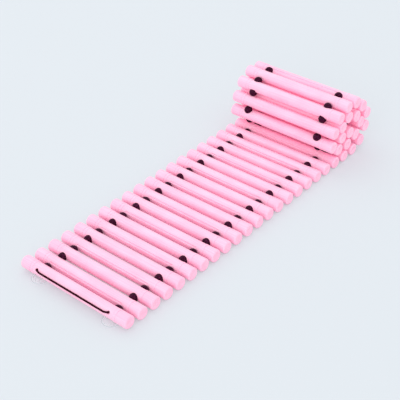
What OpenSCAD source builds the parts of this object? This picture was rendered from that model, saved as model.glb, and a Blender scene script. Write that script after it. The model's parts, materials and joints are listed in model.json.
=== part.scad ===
// A mat of plastic rods strung on an elastic cord, with its far end rolled up on itself.
// X runs along the rods, Y from the front rod towards the roll, Z up from the floor.
// The origin is the bottom centre of the mat's box. Rods are counted from the front.

/* [Rods] */
// Length of one rod over both end plugs
rod_length = 190; // [150:1:260]
// Outer diameter of the plain tube between the plug heads
tube_d = 17.6; // [15:0.2:18.2]
// Wall of the tube
tube_wall = 1.8; // [1.4:0.1:2.4]
// Free space between two neighbouring plug heads on the flat mat
rod_gap = 5.6; // [5:0.2:8]

/* [End plugs] */
// Diameter of a plug's head, which the rods stand on
cap_d = 18.4; // [18:0.2:21]
// Length of a plug's head
cap_length = 22; // [18:0.5:24]
// Rounding of the head's outer edge
cap_edge = 2.2; // [0.6:0.1:4]
// Distance from the head's inner edge to the ring cut around it
ring_inset = 4; // [2:0.5:8]
// Width of that ring
ring_width = 0.8; // [0.4:0.1:1.6]
// Depth of that ring
ring_depth = 0.4; // [0.2:0.05:0.8]
// How far the plug's shank reaches past the middle of the cord hole
shank_past_hole = 9; // [8:0.5:20]
// Free space between the shank and the tube's bore
shank_clearance = 0.1; // [0.05:0.05:0.3]

/* [Cord and beads] */
// Diameter of the elastic cord
cord_d = 2.5; // [2:0.1:3]
// Free space around the cord in its holes and in its groove
cord_clearance = 0.35; // [0.1:0.05:0.6]
// Distance from a rod's end to the middle of its cord hole
hole_inset = 30; // [29:0.5:42]
// Diameter of a bead
bead_d = 12.6; // [11:0.2:13]
// How far each bead sits from the middle of its gap, towards the odd rod that carries it
bead_shift = 2.4; // [1.6:0.1:2.6]
// Free space between a bead and its seat in the rod that carries it
seat_snug = 0.1; // [0.05:0.05:0.3]
// Free space between a bead and its seat in the rod that swings around it
seat_clearance = 0.35; // [0.3:0.05:0.8]
// Depth of the finger groove between a rod's cord holes
groove_depth = 1.1; // [0.6:0.1:1.3]
// Width of that groove
groove_width = 3; // [2:0.1:4]
// Height of the groove on the rod's face, in degrees above the middle
groove_angle = 32; // [15:1:50]
// Diameter of the knots that end the cord behind the last rod
knot_d = 6.4; // [5:0.2:8]

/* [Front rod] */
// Height on the front rod where the cord comes out, in degrees above the middle
outlet_angle = 21; // [15:1:35]
// Height on the front rod where the cord lies across its face, in degrees
run_angle = 10; // [0:1:14]
// Diameter of the countersunk mouth where the cord comes out of the front rod
mouth_d = 5; // [3.8:0.1:6]
// Distance along the rod in which the cord comes down from its hole to that height
run_slope = 6; // [4:0.5:12]

/* [Suction cups] */
// Diameter of a suction cup, pressed flat
cup_d = 25; // [18:0.5:32]
// Thickness of the pressed cup at its middle, which lifts the front rod
cup_thickness = 2.2; // [1.8:0.1:3]
// Thickness of the cup at its rim
cup_rim = 0.6; // [0.4:0.1:1]
// Width of the flat ring that seals against the floor
cup_seal = 2; // [1:0.5:4]
// Height of the hollow under the pressed cup
cup_hollow = 0.9; // [0.3:0.1:1]
// Distance that the cups stand out in front of the front rod's middle
cup_forward = 3; // [2:0.2:3.6]
// Diameter of the cup's stem
stem_d = 5.6; // [4:0.2:6]
// How deep the stem reaches into the rod
stem_depth = 4.2; // [3:0.1:4.6]

/* [Roll] */
// Least free space between two rods or beads of the roll
roll_clearance = 0.2; // [0.1:0.05:1]

/* [Hidden] */
$fn = 48;
rod_count = 40;
// The last rod that lies flat. The roll starts behind it.
root = 22;
// Bend in each gap behind the root rod when the end is rolled up tight, in degrees.
bend_angles = [46.5, 23, 40.5, 30, 9, 42.5, 39.5, 14.5, 38.5, 67, 10.5, 28, 62, 63.5, 10.5, 78, 78, 60.5];
// How many of the last rods, deep inside the roll, have their beads in the rod's own node
inner_count = 6;

cap_r = cap_d / 2;
tube_r = tube_d / 2;
bead_r = bead_d / 2;
bore_r = tube_r - tube_wall;
shank_r = bore_r - shank_clearance;
stem_clearance = 0.05;
// Keeps pieces of one rod apart as separate solids
seam = 0.05;
overcut = 0.5;
// How much larger than a bar the ball at a bend is
ball_excess = 0.15;
pitch = cap_d + rod_gap;
hole_x = rod_length / 2 - hole_inset;
head_x = rod_length / 2 - cap_length;
shank_length = head_x - hole_x + shank_past_hole;
hole_r = cord_d / 2 + cord_clearance;
// Distance from the front rod's middle to the cord that lies on its face
run_r = tube_r + cord_d / 2 + ball_excess + seam;

function odd(n) = n % 2 == 1;
function carries_beads(n) = odd(n);
function has_own_beads(n) = odd(n) && n > rod_count - inner_count;
function two_digits(n) = str(n < 10 ? "0" : "", n);
function rod_name(n) = str("rod_", two_digits(n));
function beads_name(n) = str("beads_", two_digits(n));
bead_rods = [for (n = [1 : 2 : rod_count]) if (!has_own_beads(n)) n];

// Distance from a rod's middle to the hinge lines in front of and behind it
function arm(n) = pitch / 2 + (odd(n) ? -bead_shift : bead_shift);

function turned(v, angle) = [
    v.x * cos(angle) - v.y * sin(angle),
    v.x * sin(angle) + v.y * cos(angle)
];

// A rod's place is [y, z, heading]. This is the place of rod n + 1, bent up behind rod n.
function next_place(place, n, bend) =
    let (
        hinge = [place.x, place.y] + turned([arm(n), 0], place.z),
        heading = place.z + bend,
        middle = hinge + turned([arm(n + 1), 0], heading)
    )
    [middle.x, middle.y, heading];

// Places of the rods from the root rod to the last one, with a share of each bend
function rolled(share, n = root, place = [0, cap_r, 0]) =
    n == rod_count ? [place] :
    concat([place], rolled(share, n + 1, next_place(place, n, share * bend_angles[n - root])));

// The flat rods that lie under the roll
under_roll = [for (i = [6 : -1 : 1]) [-i * pitch, cap_r, 0]];

function rod_middle(place) = [place.x, place.y];

// Middles of the beads behind each rod of a row of places, whose first rod is given
function bead_middles(places, first) = [
    for (i = [0 : len(places) - 2])
    rod_middle(places[i]) + turned([arm(first + i), 0], places[i].z)
];

function wraps_clear(share) =
    let (
        places = concat(under_roll, rolled(share)),
        rods = [for (place = places) rod_middle(place)],
        beads = bead_middles(places, root - len(under_roll)),
        last = len(rods) - 1,
        rod_spaces = [for (i = [0 : last - 1], j = [i + 1 : last]) norm(rods[i] - rods[j])],
        bead_spaces = [for (i = [0 : last - 2], j = [i + 1 : last - 1]) norm(beads[i] - beads[j])],
        cross_spaces = [
            for (i = [0 : last - 1], j = [0 : last])
            if (j != i && j != i + 1) norm(beads[i] - rods[j])
        ]
    )
    min(rod_spaces) >= cap_d + roll_clearance
    && min(bead_spaces) >= bead_d + roll_clearance
    && min(cross_spaces) >= tube_r + bead_r + roll_clearance;

// The tightest share of the bends, found by halving, at which no two rods of the roll touch
function tightest(low, high, steps) =
    steps == 0 ? low :
    let (middle = (low + high) / 2)
    wraps_clear(middle) ? tightest(middle, high, steps - 1) : tightest(low, middle, steps - 1);

roll_share = wraps_clear(1) ? 1 : tightest(0.5, 1, 12);
roll = rolled(roll_share);

// The front rod stands on the pressed cups and is tipped up about the first gap.
front_heading = -asin(cup_thickness / arm(1));
front_hinge = [(2 - root) * pitch - arm(2), cap_r];
front_middle = front_hinge + turned([-arm(1), 0], front_heading);
front_edge = front_middle.x - cup_forward - cup_d / 2;
back_edge = max([for (place = roll) place.x]) + cap_r;
shift_y = -(front_edge + back_edge) / 2;

function unshifted_place(n) =
    n == 1 ? [front_middle.x, front_middle.y, front_heading] :
    n < root ? [(n - root) * pitch, cap_r, 0] :
    roll[n - root];
function rod_place(n) = unshifted_place(n) + [shift_y, 0, 0];

// Puts a piece drawn along X, with the next rod towards +Y, in the place of rod n
module at_rod(n) {
    place = rod_place(n);
    translate([0, place.x, place.y]) rotate([place.z, 0, 0]) children();
}

module at_both_holes() {
    for (side = [-1, 1]) translate([side * hole_x, 0, 0]) children();
}

// A bar along Y between two distances from the rod's middle
module bar_y(r, from, to) {
    translate([0, from, 0]) rotate([-90, 0, 0]) cylinder(r = r, h = to - from);
}

// A round bar between two points, with slightly larger balls at its ends
module link(a, b, r) {
    run = b - a;
    length = norm(run);
    tilt = acos(run.z / length);
    spin = atan2(run.y, run.x);
    translate(a) {
        rotate([0, tilt, spin]) cylinder(r = r, h = length);
        sphere(r = r + ball_excess);
    }
    translate(b) sphere(r = r + ball_excess);
}

// A point on a circle around the rod: x along it, the angle up from its front
function around(x, r, angle) = [x, -r * cos(angle), r * sin(angle)];

// The middle of the cord where it leaves the front rod
function outlet(side) = around(side * hole_x, run_r, outlet_angle);

// Where the front rod's cord bends, at the near end of its bead's bore
function front_bend(side) = [side * hole_x, arm(1) - bead_r, 0];

// What the cord, the beads and the groove take out of rod n
module rod_cuts(n) {
    seat_r = bead_r + (carries_beads(n) ? seat_snug : seat_clearance);
    at_both_holes() {
        if (n > 1) translate([0, -arm(n), 0]) sphere(r = seat_r);
        if (n < rod_count) translate([0, arm(n), 0]) sphere(r = seat_r);
        if (n > 1) bar_y(hole_r, -cap_r, cap_r);
    }
    if (n == 1) for (side = [-1, 1]) {
        link(outlet(side), front_bend(side), hole_r);
        translate(around(side * hole_x, tube_r + cord_clearance, outlet_angle)) sphere(d = mouth_d);
        stem_socket(side);
    }
    // Even rods carry the groove on their front, odd ones behind, towards the next even rod.
    if (n > 1) rotate([odd(n) ? 180 : 0, 0, 0]) finger_groove();
}

// A bar that cuts the groove along the rod's face, from one cord hole to the other
module finger_groove() {
    translate(around(-hole_x, tube_r - groove_depth + groove_width / 2, groove_angle))
        rotate([0, 90, 0]) cylinder(r = groove_width / 2, h = 2 * hole_x);
}

module tube(n) {
    tube_length = 2 * (head_x - seam);
    difference() {
        rotate([0, 90, 0]) cylinder(r = tube_r, h = tube_length, center = true);
        rotate([0, 90, 0]) cylinder(r = bore_r, h = tube_length + 2 * overcut, center = true);
        rod_cuts(n);
    }
}

// Half section of a plug's head, with its round outer edge and its ring
module head_profile() {
    difference() {
        union() {
            square([cap_r, cap_length - cap_edge]);
            square([cap_r - cap_edge, cap_length]);
            translate([cap_r - cap_edge, cap_length - cap_edge]) circle(r = cap_edge);
        }
        translate([cap_r - ring_depth, ring_inset]) square([ring_depth + overcut, ring_width]);
    }
}

// The end plug on the +X end: its head outside the tube and its shank inside
module end_plug() {
    translate([head_x, 0, 0]) rotate([0, 90, 0]) {
        rotate_extrude() head_profile();
        translate([0, 0, -shank_length]) cylinder(r = shank_r, h = shank_length + overcut);
    }
}

module end_plugs(n) {
    difference() {
        for (turn = [0, 180]) rotate([0, 0, turn]) end_plug();
        rod_cuts(n);
    }
}

// One bead, bored along Y for the cord
module bead() {
    difference() {
        sphere(r = bead_r);
        bar_y(hole_r, -bead_d, bead_d);
    }
}

// The beads that rod n carries, and the two lengths of cord that run through it
module bead_set(n) {
    reach = arm(n) + bead_r;
    at_both_holes() {
        if (n > 1) translate([0, -arm(n), 0]) bead();
        translate([0, arm(n), 0]) bead();
        if (n > 1) bar_y(cord_d / 2, -reach, reach);
    }
}

// The cord inside an even rod, short of the beads on both sides
module inner_cord(n) {
    reach = arm(n) - bead_r - seat_clearance;
    last = n == rod_count;
    at_both_holes() {
        bar_y(cord_d / 2, -reach, last ? tube_r + knot_d / 2 : reach);
        if (last) translate([0, tube_r + knot_d / 2, 0]) sphere(d = knot_d);
    }
}

module rod(n) {
    color("pink") at_rod(n) {
        tube(n);
        end_plugs(n);
    }
    color("maroon") at_rod(n) {
        if (!carries_beads(n)) inner_cord(n);
        if (has_own_beads(n)) bead_set(n);
    }
}

module beads(n) {
    color("maroon") at_rod(n) bead_set(n);
}

// The middle of the cord, which comes through the front rod and lies across its face
module front_cord() {
    slope_x = hole_x - run_slope;
    cord_r = cord_d / 2;
    color("maroon") at_rod(1) {
        link(around(-slope_x, run_r, run_angle), around(slope_x, run_r, run_angle), cord_r);
        for (side = [-1, 1]) {
            link(outlet(side), around(side * slope_x, run_r, run_angle), cord_r);
            link(outlet(side), front_bend(side), cord_r);
        }
        at_both_holes() bar_y(cord_r, arm(1) - bead_r, arm(1) + bead_r);
    }
}

// The stem's socket in the front rod, drawn in the rod's own tipped frame
module stem_socket(side) {
    rotate([-front_heading, 0, 0])
        translate([side * hole_x, -cup_forward, -cap_r - overcut])
            cylinder(r = stem_d / 2 + stem_clearance, h = stem_depth + overcut);
}

// Half section of a pressed cup: a thin disc with a flat sealing ring and a shallow hollow
module cup_profile() {
    cup_r = cup_d / 2;
    polygon([
        [0, cup_hollow],
        [cup_r - cup_seal, 0],
        [cup_r, 0],
        [cup_r, cup_rim],
        [stem_d / 2, cup_thickness],
        [0, cup_thickness]
    ]);
}

module suction_cup(side) {
    color("lightblue", 0.4)
        translate([side * hole_x, rod_place(1).x - cup_forward, 0]) {
            rotate_extrude() cup_profile();
            translate([0, 0, cup_hollow + seam])
                cylinder(r = stem_d / 2, h = cup_thickness + stem_depth - cup_hollow - 2 * seam);
        }
}

for (n = [1 : rod_count]) rod(n);
for (n = bead_rods) beads(n);
front_cord();
suction_cup(-1);  // suction_cup_left
suction_cup(1);  // suction_cup_right
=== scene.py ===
"""A roll-up mat of capped plastic tubes, strung on an elastic cord with beads between them.

Every piece takes its place from the joints and boxes of the fixed frame, in metres.
X runs along the rods, Y from the front rod towards the roll, Z up from the floor.
Rods and gaps are counted from the front: gap 1 lies between rod 1 and rod 2.
"""

import json
import math

import bmesh
import bpy
from bpy.props import FloatProperty, FloatVectorProperty, PointerProperty
from mathutils import Matrix, Vector

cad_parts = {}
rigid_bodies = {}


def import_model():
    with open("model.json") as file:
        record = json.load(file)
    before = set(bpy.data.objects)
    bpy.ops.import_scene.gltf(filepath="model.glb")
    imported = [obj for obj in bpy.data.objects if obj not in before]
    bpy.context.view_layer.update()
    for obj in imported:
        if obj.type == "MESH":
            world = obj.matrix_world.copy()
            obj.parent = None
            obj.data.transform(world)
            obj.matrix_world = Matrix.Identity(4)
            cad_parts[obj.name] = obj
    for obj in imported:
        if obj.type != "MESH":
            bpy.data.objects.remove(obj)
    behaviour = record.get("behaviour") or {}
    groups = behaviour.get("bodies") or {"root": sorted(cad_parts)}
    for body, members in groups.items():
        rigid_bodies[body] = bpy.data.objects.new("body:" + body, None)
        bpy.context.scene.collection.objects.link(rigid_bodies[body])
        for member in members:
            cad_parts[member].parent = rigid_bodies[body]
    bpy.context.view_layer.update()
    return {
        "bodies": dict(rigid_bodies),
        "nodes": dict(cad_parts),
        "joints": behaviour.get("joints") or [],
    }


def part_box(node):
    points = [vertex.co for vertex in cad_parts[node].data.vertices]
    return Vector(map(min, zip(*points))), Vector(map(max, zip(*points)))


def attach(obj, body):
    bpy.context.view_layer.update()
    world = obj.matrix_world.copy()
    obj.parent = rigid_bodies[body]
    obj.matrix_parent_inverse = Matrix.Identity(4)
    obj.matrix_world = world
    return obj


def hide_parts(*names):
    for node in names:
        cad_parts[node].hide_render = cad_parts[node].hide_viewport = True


bl_info = {
    "name": "Roll-up rod mat",
    "version": (1, 0, 0),
    "blender": (4, 5, 0),
    "location": "View3D > Sidebar > Rod mat",
    "description": "Builds a mat of strung plastic rods with its far end rolled up",
    "category": "Object",
}

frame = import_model()

HINGES = {int(joint["name"].split("_")[1]): joint for joint in frame["joints"]}
ROD_COUNT = len(frame["bodies"])
# The rod that stays put: the flat part turns before it, and the roll behind it.
ROOT_ROD = 22
SIDES = {"left": -1, "right": 1}
ALONG_RODS = Vector((1, 0, 0))
TOWARDS_ROLL = Vector((0, 1, 0))
UPWARDS = Vector((0, 0, 1))

# Corners closer than this are one corner.
SAME_POINT = 1e-6
# A gap too fine to see, which keeps touching faces apart.
HAIR = 0.00003

# How many flat sides stand for a round piece.
TUBE_SIDES = 96
PLUG_SIDES = 72
BEAD_SIDES = 36
BEAD_STEPS = 18
CUP_SIDES = 64
CUTTER_SIDES = 40
CUTTER_RINGS = 24
CORD_SIDES = 20
FRONT_CORD_SIDES = 24
KNOT_SIDES = 16

# Angles between faces, in degrees, from which an edge shows sharp or is broken after a cut.
SHOWN_SHARP = 32
BROKEN_EDGE = 38

# Widths and heights of the fine moulded details.
CUT_EDGE = 0.00018
HEAD_INNER_EDGE = 0.0004
RING_EDGE = 0.00015
FACE_DISH = 0.00025
FACE_DIMPLE = 0.0007
BORE_EDGE = 0.0003
SEAM_HEIGHT = 0.00006
SEAL_EDGE = 0.0003

# The cord's outlet, its run across the front rod and the finger grooves lie at these
# angles, in degrees above the middle of a rod's front.
OUTLET_ANGLE = 21
RUN_ANGLE = 10
GROOVE_ANGLE = 32
# How far along the rod the cord slopes from its outlet to its run.
RUN_SLOPE = 0.006

# The camera's place: degrees round and above the mat, its lean, and its distance.
CAMERA_ROUND = 40.57
CAMERA_ABOVE = 35.82
CAMERA_LEAN = -1.09
CAMERA_DISTANCE = 1.3915
CAMERA_LENS = 85.8
LOOK_LEFT = 0.0133
LOOK_BEFORE_ROOT = 0.2414


# ---------------------------------------------------------------- places in the frame


def hinge_point(gap):
    """A point on the line that two neighbouring rods turn about."""
    return Vector(HINGES[gap]["pos_m"])


def heading(start, end):
    """The turn about X of a rod that points from start to end."""
    return math.atan2(end.z - start.z, end.y - start.y)


def carries_beads(rod):
    """Whether the beads in the gaps beside a rod are its own, which they are on odd rods."""
    return rod % 2 == 1


def reach(rod):
    """Distance from a rod's middle to the hinge lines on both its sides."""
    like = 3 if carries_beads(rod) else 2
    return (hinge_point(like) - hinge_point(like - 1)).length / 2


def rod_place(rod):
    """The matrix that takes a piece from a rod's own frame to its place in the mat."""
    if rod == 1:
        low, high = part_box("rod_01")
        middle = (low + high) / 2
        turn = heading(middle, hinge_point(1))
    elif rod < ROD_COUNT:
        middle = hinge_point(rod - 1).lerp(hinge_point(rod), 0.5)
        turn = heading(hinge_point(rod - 1), hinge_point(rod))
    else:
        # Nothing lies behind the last rod, so its turn is its neighbour's and its own bend.
        bend = math.radians(HINGES[rod - 1]["range_deg"][1])
        turn = heading(hinge_point(rod - 2), hinge_point(rod - 1)) + bend
        ahead = Vector((0, math.cos(turn), math.sin(turn)))
        middle = hinge_point(rod - 1) + ahead * reach(rod)
    return Matrix.Translation((0, middle.y, middle.z)) @ Matrix.Rotation(turn, 4, "X")


# ---------------------------------------------------------------- sizes and colours


def length(name, description, default):
    """A size in metres that a user may change."""
    return FloatProperty(name=name, description=description, default=default, unit="LENGTH")


def colour(name, description, default):
    """A colour that a user may change."""
    return FloatVectorProperty(
        name=name, description=description, default=default, subtype="COLOR", size=3, min=0, max=1
    )


class RodMatSizes(bpy.types.PropertyGroup):
    """Sizes of the mat's pieces"""

    rod_length: length("Rod length", "Length of a rod over both end plugs", 0.190)
    tube_diameter: length("Tube diameter", "Outer diameter of the tube", 0.0176)
    tube_wall: length("Tube wall", "Wall of the tube", 0.0018)
    head_diameter: length("Head diameter", "Diameter of an end plug's head", 0.0184)
    head_length: length("Head length", "Length of an end plug's head", 0.022)
    head_edge: length("Head edge", "Rounding of the head's outer edge", 0.0022)
    shank_past_hole: length("Shank past hole", "Reach of a plug past the cord hole", 0.009)
    shank_clearance: length("Shank clearance", "Free space around a plug in its tube", 0.0001)
    ring_inset: length("Ring inset", "Distance from the head's inner edge to its ring", 0.004)
    ring_width: length("Ring width", "Width of the ring around the head", 0.0008)
    ring_depth: length("Ring depth", "Depth of the ring around the head", 0.0004)
    hole_inset: length("Hole inset", "Distance from a rod's end to its cord hole", 0.030)
    cord_diameter: length("Cord diameter", "Diameter of the elastic cord", 0.0025)
    cord_clearance: length("Cord clearance", "Free space around the cord in its holes", 0.00035)
    cord_bend: length("Cord bend", "Length over which the front cord rounds a corner", 0.0016)
    bead_diameter: length("Bead diameter", "Diameter of a bead", 0.0126)
    seat_snug: length("Snug seat", "Free space around a bead in the rod that carries it", 0.0001)
    seat_loose: length("Loose seat", "Free space around a bead in the next rod", 0.00035)
    groove_depth: length("Groove depth", "Depth of the finger groove", 0.0011)
    groove_width: length("Groove width", "Width of the finger groove", 0.003)
    mouth_diameter: length("Mouth diameter", "Mouth of the front rod's cord hole", 0.005)
    knot_diameter: length("Knot diameter", "Diameter of the cord's end knots", 0.0064)
    cup_hollow: length("Cup hollow", "Height of the hollow under a suction cup", 0.0009)
    cup_seal: length("Cup seal", "Width of a suction cup's sealing ring", 0.002)
    stem_diameter: length("Stem diameter", "Diameter of a suction cup's stem", 0.0056)


class RodMatColours(bpy.types.PropertyGroup):
    """Colours of the mat's pieces, as linear red, green and blue"""

    rod: colour("Rods", "Plastic of the tubes and end plugs", (1.0, 0.585, 0.74))
    rod_deep: colour("Rod streaks", "Deeper streaks in that plastic", (1.0, 0.47, 0.64))
    # The glow is painted light: a faint emission that stands in for light seeping through the
    # milky plastic into its shade.
    painted_glow: colour("Rod glow", "Light that seeps through the milky plastic", (1.0, 0.30, 0.48))
    cord: colour("Cord", "Elastic cord", (0.030, 0.0008, 0.0055))
    bead: colour("Beads", "Beads between the rods", (0.030, 0.0006, 0.0135))
    bead_scuff: colour("Bead scuffs", "Paler scuffs on the beads", (0.12, 0.018, 0.066))
    vinyl: colour("Suction cups", "Clear vinyl of the suction cups", (0.93, 0.95, 0.98))
    # The rim colour is painted shade: it stands in for the dark line that the clear rim's curved
    # edge shows.
    vinyl_rim_shade: colour("Suction cup rims", "Thick rims of the suction cups", (0.55, 0.56, 0.62))
    floor: colour("Floor", "Floor that the mat lies on", (0.655, 0.695, 0.73))
    backdrop: colour("Backdrop", "Plain colour that the floor fades to", (0.835, 0.89, 0.935))
    daylight: colour("Daylight", "Soft light from all around", (0.97, 0.98, 1.0))


def sizes():
    """The sizes that the scene keeps."""
    return bpy.context.scene.rod_mat_sizes


def colours():
    """The colours that the scene keeps."""
    return bpy.context.scene.rod_mat_colours


# ---------------------------------------------------------------- materials


class Value:
    """A number in a material's node tree, so that its arithmetic reads as plain sums."""

    def __init__(self, finish, socket):
        self.finish = finish
        self.socket = socket

    def sum(self, operation, left, right):
        return self.finish.node("ShaderNodeMath", {"operation": operation}, {0: left, 1: right})

    def __add__(self, other):
        return self.sum("ADD", self, other)

    def __sub__(self, other):
        return self.sum("SUBTRACT", self, other)

    def __mul__(self, other):
        return self.sum("MULTIPLY", self, other)

    def __radd__(self, other):
        return self.sum("ADD", other, self)

    def __rsub__(self, other):
        return self.sum("SUBTRACT", other, self)

    def __rmul__(self, other):
        return self.sum("MULTIPLY", other, self)


class Finish:
    """A material, or the sky, that is made node by node."""

    def __init__(self, owner):
        owner.use_nodes = True
        self.owner = owner
        self.tree = owner.node_tree
        self.tree.nodes.clear()
        self.place = self.node("ShaderNodeTexCoord", {}, {}, "Object")

    def node(self, kind, settings, inputs, output=0):
        """Adds a node, with its settings first and then its inputs' values or links."""
        node = self.tree.nodes.new(kind)
        for name, setting in settings.items():
            setattr(node, name, setting)
        for name, given in inputs.items():
            if isinstance(given, Value):
                self.tree.links.new(given.socket, node.inputs[name])
            else:
                node.inputs[name].default_value = given
        return Value(self, node.outputs[output]) if node.outputs else None

    def part(self, vector, name):
        """One part of a vector, X, Y or Z, as a plain number."""
        return self.node("ShaderNodeSeparateXYZ", {}, {0: vector}, name)

    def size_of(self, value):
        """A number without its sign."""
        return self.node("ShaderNodeMath", {"operation": "ABSOLUTE"}, {0: value})

    def root_of(self, value):
        """The square root of a number."""
        return self.node("ShaderNodeMath", {"operation": "SQRT"}, {0: value})

    def stretched(self, scale):
        """The place on the piece, with each direction scaled."""
        return self.node("ShaderNodeMapping", {}, {"Vector": self.place, "Scale": scale})

    def noise(self, scale, detail, roughness=0.5):
        """A cloudy pattern that is finer where its scale is larger."""
        return self.node(
            "ShaderNodeTexNoise",
            {},
            {
                "Vector": self.stretched(scale),
                "Scale": 1.0,
                "Detail": detail,
                "Roughness": roughness,
            },
            "Fac",
        )

    def between(self, value, low, high):
        """Stretches the part of a value between low and high to run from 0 to 1."""
        inputs = {"Value": value, "From Min": low, "From Max": high}
        return self.node("ShaderNodeMapRange", {"clamp": True}, inputs)

    def mixed(self, factor, first, second):
        """A colour that goes from the first to the second as the factor rises."""
        inputs = {0: factor, 6: (*first, 1), 7: (*second, 1)}
        return self.node("ShaderNodeMix", {"data_type": "RGBA"}, inputs, 2)

    def bump(self, height, distance, strength):
        """Surface directions that follow a fine relief."""
        inputs = {"Height": height, "Distance": distance, "Strength": strength}
        return self.node("ShaderNodeBump", {}, inputs)

    def shade(self, inputs):
        """Ends the material with one surface shader."""
        surface = self.node("ShaderNodeBsdfPrincipled", {}, inputs)
        self.node("ShaderNodeOutputMaterial", {}, {"Surface": surface})

    def plain_to_camera(self, share, lit, plain, ending):
        """Ends with a shader that the camera sees, by some share, as the plain one."""
        seen = self.node("ShaderNodeLightPath", {}, {}, "Is Camera Ray")
        whole = self.node("ShaderNodeMixShader", {}, {0: seen * share, 1: lit, 2: plain})
        self.node(ending, {}, {"Surface": whole})


def material(paint):
    """The material that a function paints, made when it is first asked for."""
    name = paint.__name__
    made = bpy.data.materials.get(name)
    if made is None:
        made = bpy.data.materials.new(name)
        paint(Finish(made))
    return made


def satin_pink_plastic(finish):
    """Moulded plastic with faint drawn streaks along the rod, a milky variation, and a painted
    pink glow that lifts its shade.
    """
    streaks = finish.noise((14, 900, 900), 3.0)
    hairlines = finish.noise((60, 3200, 3200), 1.0)
    milk = finish.noise((38, 70, 70), 2.0)
    depth = finish.between(streaks * 0.6 + milk * 0.4, 0.36, 0.66)
    height = streaks * 0.7 + hairlines * 0.3
    finish.shade({
        "Base Color": finish.mixed(depth, colours().rod, colours().rod_deep),
        "Roughness": 0.27 + hairlines * 0.14,
        "Normal": finish.bump(height, 0.00012, 0.6),
        "IOR": 1.47,
        # Painted glow: a constant pink emission lifts the plastic's shade in place of light that
        # seeps through it.
        "Emission Color": (*colours().painted_glow, 1),
        "Emission Strength": 0.11,
    })


def dark_bead_rubber(finish):
    """Hard rubber with a mottle of paler scuffs."""
    mottle = finish.noise((520, 520, 520), 4.0, 0.65)
    grain = finish.noise((2400, 2400, 2400), 2.0)
    scuffs = finish.between(mottle, 0.50, 0.74)
    finish.shade({
        "Base Color": finish.mixed(scuffs, colours().bead, colours().bead_scuff),
        "Roughness": 0.30 + mottle * 0.25,
        "Normal": finish.bump(mottle * 0.7 + grain * 0.3, 0.00025, 0.7),
        "Specular IOR Level": 0.07,
    })


def braided_elastic_cord(finish):
    """Braided sheath: two sets of fine ribs that cross."""
    ribs, crossing = (
        finish.node(
            "ShaderNodeTexWave",
            {"bands_direction": "DIAGONAL"},
            {"Vector": finish.stretched((way, 1, 1)), "Scale": 260.0, "Distortion": 0.6},
            "Fac",
        )
        for way in (1, -1)
    )
    braid = ribs * crossing
    worn = finish.between(braid, 0.2, 1.0) * 0.18
    finish.shade({
        "Base Color": finish.mixed(worn, colours().cord, colours().bead_scuff),
        "Roughness": 0.75 - braid * 0.2,
        "Normal": finish.bump(braid, 0.0002, 0.8),
        "Specular IOR Level": 0.05,
    })


def clear_soft_vinyl(finish):
    """Soft clear vinyl: a faint film that shows most at a cup's thick rim, where its greyer,
    denser colour is painted edge shade.
    """
    cloud = finish.noise((220, 220, 220), 3.0)
    low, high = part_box("suction_cup_right")
    middle = (low + high) / 2
    rim = (high.x - low.x) / 2
    across = finish.size_of(finish.part(finish.place, "X")) - middle.x
    along = finish.part(finish.place, "Y") - middle.y
    from_stem = finish.root_of(across * across + along * along)
    # Painted edge shade: towards the rim the vinyl turns greyer and denser, in place of the dark
    # line its curved edge shows.
    edge = finish.between(from_stem, rim * 0.90, rim * 0.985)
    finish.shade({
        "Base Color": finish.mixed(edge, colours().vinyl, colours().vinyl_rim_shade),
        "Roughness": 0.10 + cloud * 0.12,
        "Normal": finish.bump(cloud, 0.0002, 0.3),
        "Alpha": 0.10 + edge * 0.32 + cloud * 0.06,
    })


def pale_floor(finish):
    """A pale matt floor, partly plain to the camera so that its shadows stay mild."""
    cloud = finish.noise((1.3, 1.3, 1.3), 2.0)
    clouded = [0.985 * part for part in colours().floor]
    lit = finish.node("ShaderNodeBsdfPrincipled", {}, {
        "Base Color": finish.mixed(cloud, colours().floor, clouded),
        "Roughness": 0.7,
    })
    plain = finish.node("ShaderNodeEmission", {}, {"Color": (*colours().backdrop, 1)})
    finish.plain_to_camera(0.4, lit, plain, "ShaderNodeOutputMaterial")


def soft_sky(finish):
    """Even daylight, which the camera sees as the plain backdrop."""
    daylight = {"Color": (*colours().daylight, 1), "Strength": 1.05}
    lit = finish.node("ShaderNodeBackground", {}, daylight)
    plain = finish.node("ShaderNodeBackground", {}, {"Color": (*colours().backdrop, 1)})
    finish.plain_to_camera(1.0, lit, plain, "ShaderNodeOutputWorld")


# ---------------------------------------------------------------- shapes


def spun(profile, axis, sides, closed=False):
    """Spins a profile of (distance along the axis, radius) pairs into a solid."""
    bm = bmesh.new()
    outwards = UPWARDS if axis.z == 0 else ALONG_RODS
    corners = [bm.verts.new(axis * along + outwards * radius) for along, radius in profile]
    lines = [bm.edges.new(pair) for pair in zip(corners, corners[1:])]
    if closed:
        lines.append(bm.edges.new((corners[-1], corners[0])))
    bmesh.ops.spin(
        bm,
        geom=corners + lines,
        cent=(0, 0, 0),
        axis=axis,
        angle=math.tau,
        steps=sides,
        use_merge=True,
    )
    bmesh.ops.remove_doubles(bm, verts=bm.verts, dist=SAME_POINT)
    bmesh.ops.recalc_face_normals(bm, faces=bm.faces)
    return bm


def round_edges(bm, edges, width, segments, clamp_overlap=False):
    """Rounds edges over a width on both their sides."""
    bmesh.ops.bevel(
        bm,
        geom=edges,
        offset=width,
        segments=segments,
        profile=0.5,
        affect="EDGES",
        clamp_overlap=clamp_overlap,
        material=-1,
    )


def soften_ring(bm, axis, along, radius, width, segments=2):
    """Rounds the ring of edges that lies at one distance along the axis and one radius."""

    def on_ring(vert):
        height = vert.co.dot(axis)
        out = (vert.co - axis * height).length
        return abs(height - along) < SAME_POINT and abs(out - radius) < SAME_POINT

    ring = [edge for edge in bm.edges if all(on_ring(vert) for vert in edge.verts)]
    round_edges(bm, ring, width, segments)


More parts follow.
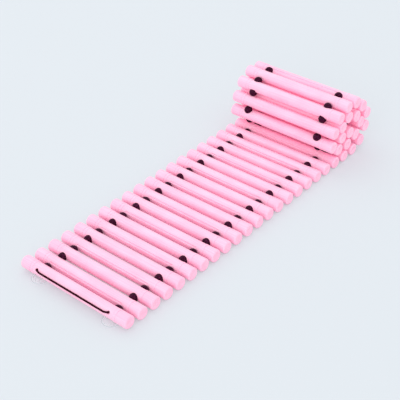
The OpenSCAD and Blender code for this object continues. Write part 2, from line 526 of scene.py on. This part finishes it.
def smoothed(mesh):
    """Shades a mesh smooth but for its sharp edges."""
    mesh.shade_smooth()
    mesh.set_sharp_from_angle(angle=math.radians(SHOWN_SHARP))
    return mesh


def finished_mesh(name, bm):
    """Turns a bmesh into a smoothed mesh."""
    mesh = bpy.data.meshes.new(name)
    bm.to_mesh(mesh)
    bm.free()
    return smoothed(mesh)


def shown(name, data):
    """Adds an object that shows a mesh, a curve, a camera or a lamp."""
    piece = bpy.data.objects.new(name, data)
    bpy.context.scene.collection.objects.link(piece)
    return piece


def final_mesh(piece):
    """A new mesh of an object as its modifiers or its curve settings leave it."""
    bpy.context.view_layer.update()
    seen = piece.evaluated_get(bpy.context.evaluated_depsgraph_get())
    return bpy.data.meshes.new_from_object(seen)


def cut(mesh, cutters):
    """Takes each cutter's shape out of a mesh, and returns what is left as a new mesh."""
    body = shown(mesh.name, mesh)
    tools = [shown(cutter.name, cutter) for cutter in cutters]
    for tool in tools:
        boolean = body.modifiers.new("cut", "BOOLEAN")
        boolean.operation = "DIFFERENCE"
        boolean.solver = "EXACT"
        boolean.object = tool
    result = final_mesh(body)
    for thing in [body, *tools]:
        bpy.data.objects.remove(thing)
    for spent in [mesh, *cutters]:
        bpy.data.meshes.remove(spent)
    return result


def soften_cuts(mesh, width):
    """Breaks the sharp edges that cutting leaves."""
    bm = bmesh.new()
    bm.from_mesh(mesh)
    bmesh.ops.remove_doubles(bm, verts=bm.verts, dist=2 * SAME_POINT)
    bmesh.ops.dissolve_degenerate(bm, edges=bm.edges, dist=2 * SAME_POINT)
    sharp = [
        edge
        for edge in bm.edges
        if len(edge.link_faces) == 2 and edge.calc_face_angle() > math.radians(BROKEN_EDGE)
    ]
    round_edges(bm, sharp, width, 2, clamp_overlap=True)
    bmesh.ops.recalc_face_normals(bm, faces=bm.faces)
    bm.to_mesh(mesh)
    bm.free()
    return smoothed(mesh)


def mirrored(mesh):
    """A copy of a mesh on the other side of X = 0."""
    bm = bmesh.new()
    bm.from_mesh(mesh)
    bmesh.ops.scale(bm, vec=(-1, 1, 1), verts=bm.verts)
    bmesh.ops.reverse_faces(bm, faces=bm.faces)
    return finished_mesh(mesh.name, bm)


def balls(radius, middles):
    """Balls of one size at several middles."""
    bm = bmesh.new()
    for middle in middles:
        bmesh.ops.create_uvsphere(
            bm,
            u_segments=CUTTER_SIDES,
            v_segments=CUTTER_RINGS,
            radius=radius,
            matrix=Matrix.Translation(middle),
        )
    return bm


def bars(radius, ends, sides):
    """Straight round bars, each between two points."""
    bm = bmesh.new()
    for start, end in ends:
        run = end - start
        aim = run.to_track_quat("Z", "Y").to_matrix().to_4x4()
        bmesh.ops.create_cone(
            bm,
            cap_ends=True,
            segments=sides,
            radius1=radius,
            radius2=radius,
            depth=run.length,
            matrix=Matrix.Translation((start + end) / 2) @ aim,
        )
    return bm


def swept(name, points, radius, sides):
    """A cord of one thickness along a path of points."""
    curve = bpy.data.curves.new(name, "CURVE")
    curve.dimensions = "3D"
    curve.bevel_depth = radius
    curve.bevel_resolution = sides // 4
    curve.use_fill_caps = True
    spline = curve.splines.new("POLY")
    spline.points.add(len(points) - 1)
    for point, place in zip(spline.points, points):
        point.co = (*place, 1)
    holder = shown(name, curve)
    mesh = final_mesh(holder)
    bpy.data.objects.remove(holder)
    bpy.data.curves.remove(curve)
    bm = bmesh.new()
    bm.from_mesh(mesh)
    bpy.data.meshes.remove(mesh)
    bmesh.ops.remove_doubles(bm, verts=bm.verts, dist=SAME_POINT)
    bmesh.ops.recalc_face_normals(bm, faces=bm.faces)
    return finished_mesh(name, bm)


def rounded(points, bend, steps=6):
    """A path with each inner corner rounded over a distance on both its sides."""
    path = [points[0]]
    for before, corner, after in zip(points, points[1:], points[2:]):
        start = corner + (before - corner).normalized() * bend
        end = corner + (after - corner).normalized() * bend
        for step in range(steps + 1):
            share = step / steps
            path.append(start.lerp(corner, share).lerp(corner.lerp(end, share), share))
    path.append(points[-1])
    return path


def joined(name, parts):
    """One mesh out of several bmeshes."""
    whole = bmesh.new()
    for part in parts:
        mesh = bpy.data.meshes.new(name)
        part.to_mesh(mesh)
        part.free()
        whole.from_mesh(mesh)
        bpy.data.meshes.remove(mesh)
    return finished_mesh(name, whole)


def fit(mesh, name, rod, paint, node):
    """Puts a copy of a piece, made in a rod's own frame, in that rod's place in the mat."""
    placed = mesh.copy()
    placed.name = name
    placed.transform(rod_place(rod))
    placed.materials.clear()
    placed.materials.append(material(paint))
    piece = shown(name, placed)
    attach(piece, f"rod_{rod:02d}")
    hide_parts(node)


# ---------------------------------------------------------------- the rods' own features


def hole_x():
    """Distance from a rod's middle to its two cord holes."""
    return sizes().rod_length / 2 - sizes().hole_inset


def head_x():
    """Distance from a rod's middle to the inner edges of its plugs' heads."""
    return sizes().rod_length / 2 - sizes().head_length


def in_row(side, along):
    """A point in one of the two rows of cord and beads."""
    return Vector((side * hole_x(), along, 0))


def around(x, distance, degrees):
    """A point beside the rod: the angle climbs from the middle of its front."""
    turn = math.radians(degrees)
    return Vector((x, -distance * math.cos(turn), distance * math.sin(turn)))


def cord_face_distance():
    """Distance from the front rod's middle to the cord that lies on its face."""
    return sizes().tube_diameter / 2 + sizes().cord_diameter / 2 + HAIR


def outlet(side, distance):
    """Where the cord comes out of the front rod, at a distance from the rod's middle."""
    return around(side * hole_x(), distance, OUTLET_ANGLE)


def front_bend(side):
    """Where the front rod's cord bends, at the near end of its bead's bore."""
    return in_row(side, reach(1) - sizes().bead_diameter / 2)


def bead_node(rod):
    """The node of a rod's beads and cord, which is the rod's own where it has no other."""
    own = f"beads_{rod:02d}"
    return own if own in frame["nodes"] else f"rod_{rod:02d}"


def kind_of(rod):
    """The rod whose shape this rod shares."""
    if rod in (1, ROD_COUNT):
        return rod
    return 3 if carries_beads(rod) else 2


def each_rod(make):
    """Every rod with its mesh or meshes, which are made once for each kind of rod."""
    made = {}
    for rod in range(1, ROD_COUNT + 1):
        kind = kind_of(rod)
        if kind not in made:
            made[kind] = make(kind)
        yield rod, made[kind]


def groove_cutter(rod):
    """A bar that cuts the finger groove from one cord hole to the other."""
    size = sizes()
    distance = (size.tube_diameter + size.groove_width) / 2 - size.groove_depth
    ends = [around(side * hole_x(), distance, GROOVE_ANGLE) for side in SIDES.values()]
    groove = bars(size.groove_width / 2, [ends], CUTTER_SIDES)
    turn = Matrix.Rotation(math.pi if carries_beads(rod) else 0, 3, "X")
    bmesh.ops.rotate(groove, cent=(0, 0, 0), matrix=turn, verts=groove.verts)
    return groove


def rod_cutters(rod):
    """What the beads, the cord and fingers take out of a rod, as meshes that cut it."""
    size = sizes()
    arm = reach(rod)
    hole_radius = size.cord_diameter / 2 + size.cord_clearance
    seat_space = size.seat_snug if carries_beads(rod) else size.seat_loose
    seat_radius = size.bead_diameter / 2 + seat_space
    fronts = [in_row(side, -arm) for side in SIDES.values()]
    backs = [in_row(side, arm) for side in SIDES.values()]
    if rod > 1:
        cutters = [
            balls(seat_radius, fronts),
            bars(hole_radius, zip(fronts, backs), CUTTER_SIDES),
            groove_cutter(rod),
        ]
    else:
        mouths = [outlet(side, size.tube_diameter / 2) for side in SIDES.values()]
        slants = [
            (outlet(side, cord_face_distance()), front_bend(side)) for side in SIDES.values()
        ]
        cutters = [
            balls(size.mouth_diameter / 2, mouths),
            bars(hole_radius, slants, CUTTER_SIDES),
        ]
    if rod < ROD_COUNT:
        cutters.append(balls(seat_radius, backs))
    return [finished_mesh("cutter", bm) for bm in cutters]


def tube_mesh(rod):
    """An open tube with its cord holes, its bead seats and its finger groove."""
    outer = sizes().tube_diameter / 2
    inner = outer - sizes().tube_wall
    end = head_x() - HAIR
    profile = [(-end, inner), (end, inner), (end, outer), (-end, outer)]
    bm = spun(profile, ALONG_RODS, TUBE_SIDES, closed=True)
    return soften_cuts(cut(finished_mesh("tube", bm), rod_cutters(rod)), CUT_EDGE)


def plug_mesh(rod):
    """An end plug: a head with a rounded edge and a ring around it, and a bored shank."""
    size = sizes()
    head = size.head_diameter / 2
    shank = size.tube_diameter / 2 - size.tube_wall - size.shank_clearance
    shank_end = hole_x() - size.shank_past_hole
    inner_edge = head_x()
    ring_start = inner_edge + size.ring_inset
    ring_end = ring_start + size.ring_width
    ring_floor = head - size.ring_depth
    tip = size.rod_length / 2
    profile = [
        (shank_end, 0),
        (shank_end, shank),
        (inner_edge, shank),
        (inner_edge, head),
        (ring_start, head),
        (ring_start, ring_floor),
        (ring_end, ring_floor),
        (ring_end, head),
        (tip, head),
        (tip, head * 0.60),
        (tip - FACE_DISH, head * 0.52),
        (tip - FACE_DISH, head * 0.14),
        (tip - FACE_DIMPLE, head * 0.09),
        (tip - FACE_DIMPLE, 0),
    ]
    bm = spun(profile, ALONG_RODS, PLUG_SIDES)
    soften_ring(bm, ALONG_RODS, tip, head, size.head_edge, 6)
    soften_ring(bm, ALONG_RODS, inner_edge, head, HEAD_INNER_EDGE)
    soften_ring(bm, ALONG_RODS, ring_start, head, RING_EDGE)
    soften_ring(bm, ALONG_RODS, ring_end, head, RING_EDGE)
    return smoothed(cut(finished_mesh("end_plug", bm), rod_cutters(rod)))


def plug_pair(rod):
    """The meshes of a rod's two end plugs, by side."""
    right = plug_mesh(rod)
    return {"right": right, "left": mirrored(right)}


def bead(middle):
    """A bead: a ball bored along Y, with a fine moulding seam and broken rims."""
    size = sizes()
    radius = size.bead_diameter / 2
    bore = size.cord_diameter / 2 + size.cord_clearance
    first = math.asin(bore / radius)
    profile = []
    for step in range(BEAD_STEPS + 1):
        turn = first + (math.pi - 2 * first) * step / BEAD_STEPS
        profile.append((-radius * math.cos(turn), radius * math.sin(turn)))
    bm = spun(profile, TOWARDS_ROLL, BEAD_SIDES, closed=True)
    for along, _ in (profile[0], profile[-1]):
        soften_ring(bm, TOWARDS_ROLL, along, bore, BORE_EDGE)
    seam = [vert for vert in bm.verts if abs(vert.co.y) < SAME_POINT]
    for vert in seam:
        vert.co *= 1 + SEAM_HEIGHT / radius
    bmesh.ops.translate(bm, vec=middle, verts=bm.verts)
    return bm


def knot_mesh(mouth):
    """An overhand knot in the cord, pulled tight against the mouth of its hole."""
    size = sizes()
    thickness = size.cord_diameter * 0.42
    # The loops swing out to three times their spread.
    spread = (size.knot_diameter / 2 - thickness) / 3
    middle = mouth + TOWARDS_ROLL * (size.knot_diameter / 2)
    steps = 60
    path = []
    for step in range(steps + 1):
        turn = math.tau * step / steps
        x = math.sin(turn) + 2 * math.sin(2 * turn)
        y = -1.6 * math.sin(3 * turn)
        z = math.cos(turn) - 2 * math.cos(2 * turn)
        path.append(middle + Vector((x, y, z)) * spread)
    return swept("knot", path, thickness, KNOT_SIDES)


def cup_profile(rim, top):
    """Half of a suction cup's outline, as heights above the floor and distances from its axis."""
    size = sizes()
    stem = size.stem_diameter / 2
    neck = stem * 0.78
    seal = rim - size.cup_seal
    hollow = [
        (size.cup_hollow, 0),
        (size.cup_hollow, stem),
        (size.cup_hollow * 0.55, rim * 0.55),
        (SEAL_EDGE / 3, seal),
        (0, seal + SEAL_EDGE),
    ]
    dome = [
        (0, rim - SEAL_EDGE),
        (SEAL_EDGE, rim),
        (SEAL_EDGE * 2, rim - 0.0002),
        (0.0011, rim * 0.72),
        (0.0018, rim * 0.42),
        (0.0023, stem * 1.15),
    ]
    collared_stem = [
        (0.0032, neck),
        (top * 0.66, neck),
        (top * 0.74, stem),
        (top * 0.86, stem),
        (top, stem * 0.55),
        (top, 0),
    ]
    return hollow + dome + collared_stem


# ---------------------------------------------------------------- operators


class RODMAT_OT_tubes(bpy.types.Operator):
    """Make the tubes of all rods, with their holes, bead seats and grooves"""

    bl_idname = "rodmat.tubes"
    bl_label = "Tubes"

    def execute(self, context):
        for rod, tube in each_rod(tube_mesh):
            fit(tube, f"tube_{rod:02d}", rod, satin_pink_plastic, f"rod_{rod:02d}")
        return {"FINISHED"}


class RODMAT_OT_end_plugs(bpy.types.Operator):
    """Make the two end plugs of every rod"""

    bl_idname = "rodmat.end_plugs"
    bl_label = "End plugs"

    def execute(self, context):
        for rod, pair in each_rod(plug_pair):
            for side, plug in pair.items():
                name = f"end_plug_{rod:02d}_{side}"
                fit(plug, name, rod, satin_pink_plastic, f"rod_{rod:02d}")
        return {"FINISHED"}


class RODMAT_OT_beads(bpy.types.Operator):
    """Make the beads that each odd rod carries in the gaps on both its sides"""

    bl_idname = "rodmat.beads"
    bl_label = "Beads"

    def execute(self, context):
        for rod in filter(carries_beads, range(1, ROD_COUNT + 1)):
            arm = reach(rod)
            ends = (arm,) if rod == 1 else (-arm, arm)
            beads = [bead(in_row(side, end)) for side in SIDES.values() for end in ends]
            whole = joined("beads", beads)
            fit(whole, f"bead_set_{rod:02d}", rod, dark_bead_rubber, bead_node(rod))
        return {"FINISHED"}


class RODMAT_OT_cord(bpy.types.Operator):
    """Make the lengths of cord inside the rods, and the knots behind the last one"""

    bl_idname = "rodmat.cord"
    bl_label = "Cord"

    def execute(self, context):
        size = sizes()
        past_bead = size.bead_diameter / 2
        before_bead = -size.bead_diameter / 2 - size.seat_loose
        mouth = size.tube_diameter / 2
        for rod in range(2, ROD_COUNT + 1):
            end = reach(rod) + (past_bead if carries_beads(rod) else before_bead)
            back = mouth if rod == ROD_COUNT else end
            runs = [(in_row(side, -end), in_row(side, back)) for side in SIDES.values()]
            cord = finished_mesh("cord", bars(size.cord_diameter / 2, runs, CORD_SIDES))
            fit(cord, f"cord_{rod:02d}", rod, braided_elastic_cord, bead_node(rod))
        for name, side in SIDES.items():
            knot = knot_mesh(in_row(side, mouth))
            node = bead_node(ROD_COUNT)
            fit(knot, f"knot_{name}", ROD_COUNT, braided_elastic_cord, node)
        return {"FINISHED"}


class RODMAT_OT_front_cord(bpy.types.Operator):
    """Make the middle of the cord, which lies across the front rod's face"""

    bl_idname = "rodmat.front_cord"
    bl_label = "Front cord"

    def execute(self, context):
        size = sizes()
        right = [
            in_row(1, reach(1) + size.bead_diameter / 2),
            front_bend(1),
            outlet(1, cord_face_distance()),
            around(hole_x() - RUN_SLOPE, cord_face_distance(), RUN_ANGLE),
        ]
        left = [Vector((-point.x, point.y, point.z)) for point in reversed(right)]
        path = rounded(right + left, size.cord_bend)
        cord = swept("front_cord", path, size.cord_diameter / 2, FRONT_CORD_SIDES)
        fit(cord, "cord_front", 1, braided_elastic_cord, "front_cord")
        return {"FINISHED"}


class RODMAT_OT_suction_cups(bpy.types.Operator):
    """Make the two clear suction cups under the front rod"""

    bl_idname = "rodmat.suction_cups"
    bl_label = "Suction cups"

    def execute(self, context):
        for name in SIDES:
            node = f"suction_cup_{name}"
            low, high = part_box(node)
            middle = (low + high) / 2
            rim = (high.x - low.x) / 2
            bm = spun(cup_profile(rim, high.z), UPWARDS, CUP_SIDES)
            bmesh.ops.translate(bm, vec=(middle.x, middle.y, 0), verts=bm.verts)
            cup = finished_mesh(f"cup_{name}", bm)
            cup.materials.append(material(clear_soft_vinyl))
            piece = shown(cup.name, cup)
            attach(piece, "rod_01")
            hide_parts(node)
        return {"FINISHED"}


class RODMAT_OT_stage(bpy.types.Operator):
    """Make the floor, the soft lights and the camera"""

    bl_idname = "rodmat.stage"
    bl_label = "Stage"

    def execute(self, context):
        self.camera()
        self.floor()
        self.light()
        context.scene.view_settings.view_transform = "Standard"
        return {"FINISHED"}

    def camera(self):
        """Looks down on the mat from its front right corner."""
        round_mat = math.radians(CAMERA_ROUND)
        above = math.radians(CAMERA_ABOVE)
        lean = math.radians(CAMERA_LEAN)
        target_y = rod_place(ROOT_ROD).translation.y - LOOK_BEFORE_ROOT
        target = Vector((-LOOK_LEFT, target_y, 0))
        back = Vector((
            math.sin(round_mat) * math.cos(above),
            -math.cos(round_mat) * math.cos(above),
            math.sin(above),
        ))
        level = Vector((math.cos(round_mat), math.sin(round_mat), 0))
        upright = back.cross(level)
        right = level * math.cos(lean) + upright * math.sin(lean)
        up = back.cross(right)
        data = bpy.data.cameras.new("camera")
        data.lens = CAMERA_LENS
        data.sensor_width = 36
        data.clip_start = 0.05
        data.clip_end = 30
        camera = shown("camera", data)
        turn = Matrix((right, up, back)).transposed().to_4x4()
        camera.matrix_world = Matrix.Translation(target + back * CAMERA_DISTANCE) @ turn
        bpy.context.scene.camera = camera

    def floor(self):
        """A floor that reaches far beyond the mat."""
        bm = bmesh.new()
        bmesh.ops.create_grid(bm, x_segments=1, y_segments=1, size=12)
        floor = finished_mesh("floor", bm)
        floor.materials.append(material(pale_floor))
        shown("floor", floor)

    def light(self):
        """Even daylight, with a key lamp above the roll and a wide fill lamp in front."""
        world = bpy.data.worlds.new("soft_room")
        bpy.context.scene.world = world
        soft_sky(Finish(world))
        lamps = {
            "key": {"place": (-1.3, 0.6, 2.1), "size": 1.9, "power": 6.0},
            "fill": {"place": (1.8, -4.4, 2.4), "size": 3.4, "power": 56.0},
        }
        for name, lamp in lamps.items():
            data = bpy.data.lights.new(name, "AREA")
            data.size = lamp["size"]
            data.energy = lamp["power"]
            aim = Vector(lamp["place"]).to_track_quat("Z", "Y").to_matrix().to_4x4()
            shown(name, data).matrix_world = Matrix.Translation(lamp["place"]) @ aim


class RODMAT_PT_panel(bpy.types.Panel):
    """Sizes, colours and pieces of the mat"""

    bl_idname = "RODMAT_PT_panel"
    bl_label = "Rod mat"
    bl_space_type = "VIEW_3D"
    bl_region_type = "UI"
    bl_category = "Rod mat"

    def draw(self, context):
        for group in (sizes(), colours()):
            column = self.layout.column()
            for name in group.bl_rna.properties.keys():
                if name not in {"rna_type", "name"}:
                    column.prop(group, name)
        for operator in OPERATORS:
            self.layout.operator(operator.bl_idname)


OPERATORS = (
    RODMAT_OT_tubes,
    RODMAT_OT_end_plugs,
    RODMAT_OT_beads,
    RODMAT_OT_cord,
    RODMAT_OT_front_cord,
    RODMAT_OT_suction_cups,
    RODMAT_OT_stage,
)
CLASSES = (RodMatSizes, RodMatColours, *OPERATORS, RODMAT_PT_panel)


def register():
    for made in CLASSES:
        bpy.utils.register_class(made)
    bpy.types.Scene.rod_mat_sizes = PointerProperty(type=RodMatSizes)
    bpy.types.Scene.rod_mat_colours = PointerProperty(type=RodMatColours)


def unregister():
    del bpy.types.Scene.rod_mat_colours
    del bpy.types.Scene.rod_mat_sizes
    for made in reversed(CLASSES):
        bpy.utils.unregister_class(made)


def main():
    register()
    bpy.ops.rodmat.stage()
    bpy.ops.rodmat.tubes()
    bpy.ops.rodmat.end_plugs()
    bpy.ops.rodmat.beads()
    bpy.ops.rodmat.cord()
    bpy.ops.rodmat.front_cord()
    bpy.ops.rodmat.suction_cups()


if __name__ == "__main__":
    main()
